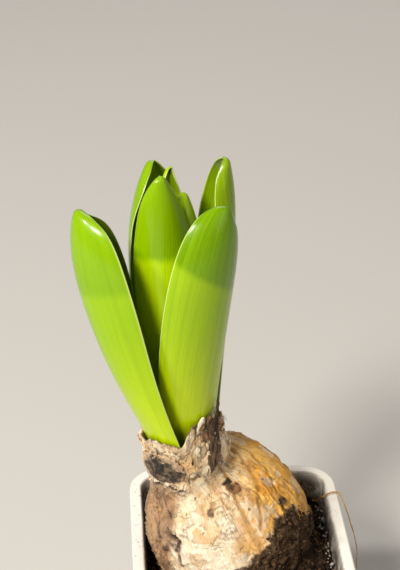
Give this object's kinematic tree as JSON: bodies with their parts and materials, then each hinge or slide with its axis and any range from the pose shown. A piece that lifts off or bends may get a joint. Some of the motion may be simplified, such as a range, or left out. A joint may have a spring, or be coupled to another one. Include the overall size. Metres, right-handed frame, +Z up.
{
  "type": "potted hyacinth plant",
  "caption": "Forced hyacinth in leaf: a papery bulb half out of the soil of a square plastic pot, with a tight bundle of hooded, channelled leaves.",
  "frame": {"origin": "middle of the pot's underside, on the surface it stands on", "axes": "+Z up, the pot's front faces -Y, +X to the right seen from the front; the bulb leans towards -X"},
  "size_m": [0.1097, 0.08, 0.2235],
  "materials": {
    "pot_plastic": "smooth white moulded plastic, slightly soiled at the rim",
    "soil": null,
    "bulb_tunic": "dry papery bulb tunic, cream to golden orange",
    "leaf": null,
    "dry_scale": "thin dry papery scale",
    "old_tunic": "dark, mould-spotted old tunic",
    "brown_fibre": "dark dried fibre",
    "pale_scale": "pale inner scale",
    "dry_root": "thin golden dead root"
  },
  "bodies": {
    "root": {"pot": "pot_plastic", "soil": "soil", "bulb": "bulb_tunic", "leaf_left": "leaf", "leaf_right": "leaf", "leaf_centre": "leaf", "leaf_back_left": "leaf", "leaf_back_right": "leaf", "leaf_inner_left": "leaf", "leaf_inner_right": "leaf", "neck_scale_left": "dry_scale", "neck_scale_front": "dry_scale", "neck_scale_back": "dry_scale", "shoulder_flap": "old_tunic", "dried_tunic_strip": "brown_fibre", "pale_scale_tip": "pale_scale", "dry_root": "dry_root"}
  },
  "joints": []
}
